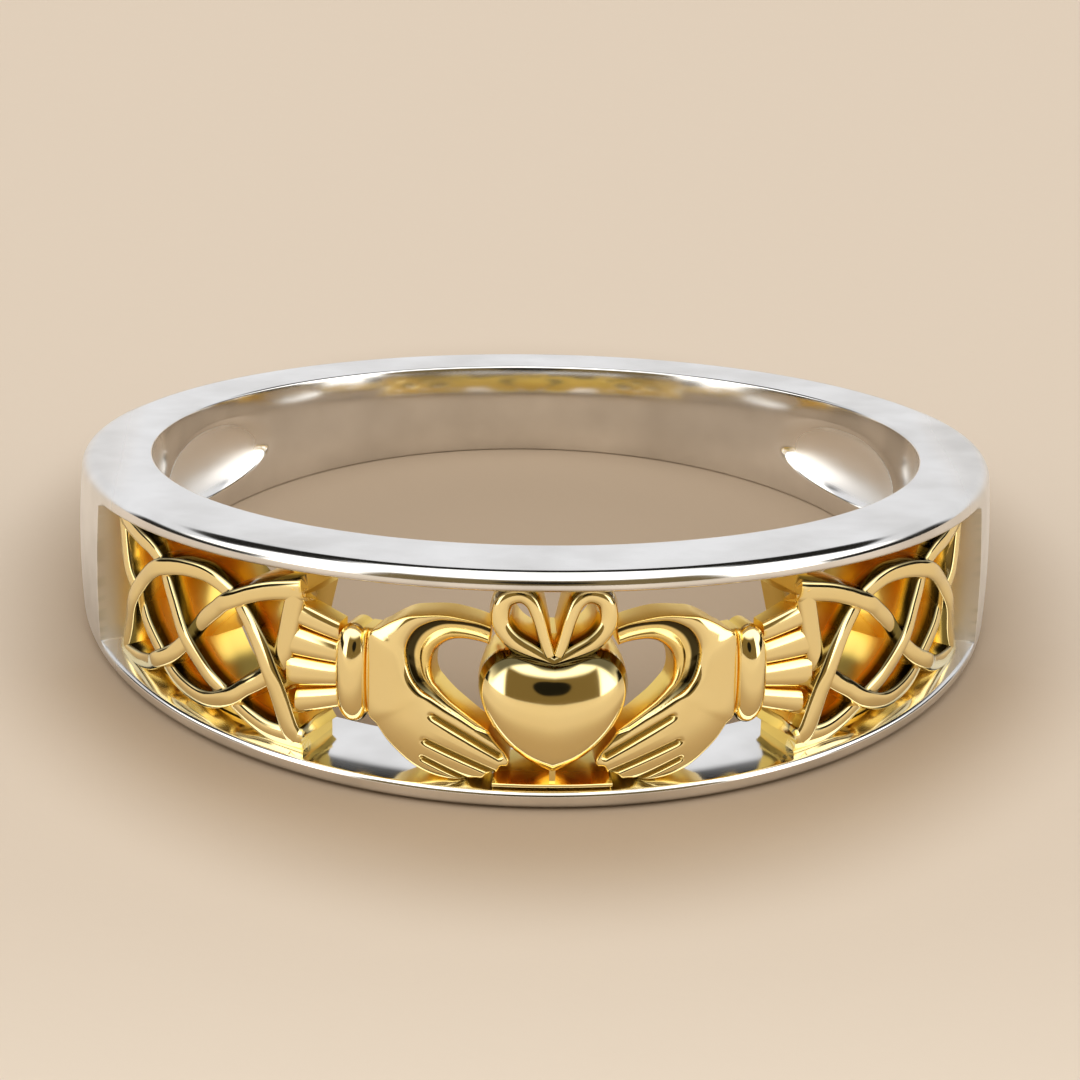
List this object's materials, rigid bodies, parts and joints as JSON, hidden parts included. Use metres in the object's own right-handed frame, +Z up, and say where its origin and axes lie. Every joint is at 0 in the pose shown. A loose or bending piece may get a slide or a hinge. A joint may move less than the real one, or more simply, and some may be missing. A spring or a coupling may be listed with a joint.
{
  "type": "claddagh ring",
  "caption": "Two-tone claddagh ring: a tapered silver band with gold hands, crowned heart and pierced interlace panels set in its front window.",
  "frame": {"origin": "on the surface that the ring rests on, below the middle of its whole box", "axes": "+Z up from the resting face, the motif faces -Y, the low back of the band is at +Y and +X is to the right"},
  "size_m": [0.0208, 0.0219, 0.0052],
  "materials": {
    "silver": "polished silver, with fine satin side faces",
    "gold": "mirror-polished yellow gold"
  },
  "bodies": {
    "root": {"band": "silver", "knot_left": "gold", "knot_right": "gold", "hand_left": "gold", "hand_right": "gold", "heart": "gold", "crown": "gold"}
  },
  "joints": []
}
